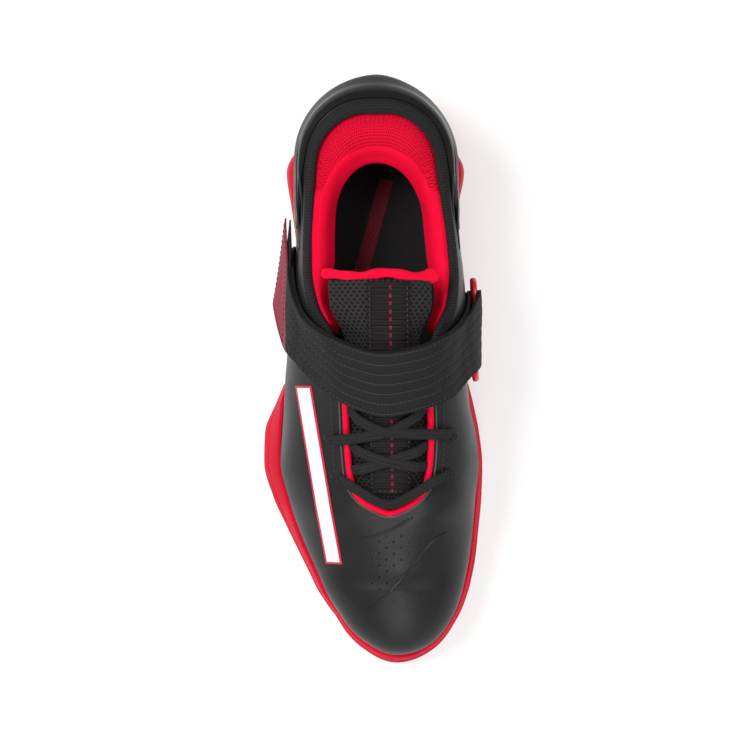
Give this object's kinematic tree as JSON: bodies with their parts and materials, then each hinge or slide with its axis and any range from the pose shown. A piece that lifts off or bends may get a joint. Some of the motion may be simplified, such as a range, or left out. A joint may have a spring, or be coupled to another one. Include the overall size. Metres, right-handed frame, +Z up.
{
  "type": "weightlifting shoe",
  "caption": "Right weightlifting shoe with a raised hard heel, a hollow padded upper, flat laces and a wide folded instep strap run through a ring.",
  "frame": {"origin": "centre of the bounding box's base, on the ground under the middle of the shoe", "axes": "+Z up, -Y towards the toe and +Y towards the heel, +X towards the medial side of this right shoe"},
  "size_m": [0.1128, 0.299, 0.1187],
  "materials": {
    "outsole_rubber": "matt moulded rubber",
    "midsole_foam": "satin moulded foam",
    "heel_shell": "satin moulded hard plastic",
    "insole_cloth": "fine knit",
    "upper_skin": "semi-gloss synthetic leather",
    "counter_shell": "glossy moulded shell",
    "lining_knit": "padded perforated lining",
    "piping_cord": "woven piping",
    "tongue_mesh": "coarse spacer mesh",
    "binding_knit": "knit binding",
    "tape_ribbed": "ribbed tape",
    "lace_braid": "flat braid",
    "strap_webbing": "channel-sewn webbing",
    "strap_tab_face": "satin coated tab",
    "ring_plastic": "glossy moulded ring"
  },
  "bodies": {
    "root": {"outsole": "outsole_rubber", "midsole": "midsole_foam", "heel_wedge": "heel_shell", "insole": "insole_cloth", "upper": "upper_skin", "heel_counter": "counter_shell", "collar_padding": "lining_knit", "throat_piping": "piping_cord", "tongue": "tongue_mesh", "tongue_binding": "binding_knit", "tongue_tape": "tape_ribbed", "lace_bar_toe": "lace_braid", "lace_crossings": "lace_braid", "instep_strap": "strap_webbing", "strap_tab": "strap_tab_face", "strap_ring": "ring_plastic", "ring_anchor": "strap_webbing"}
  },
  "joints": []
}
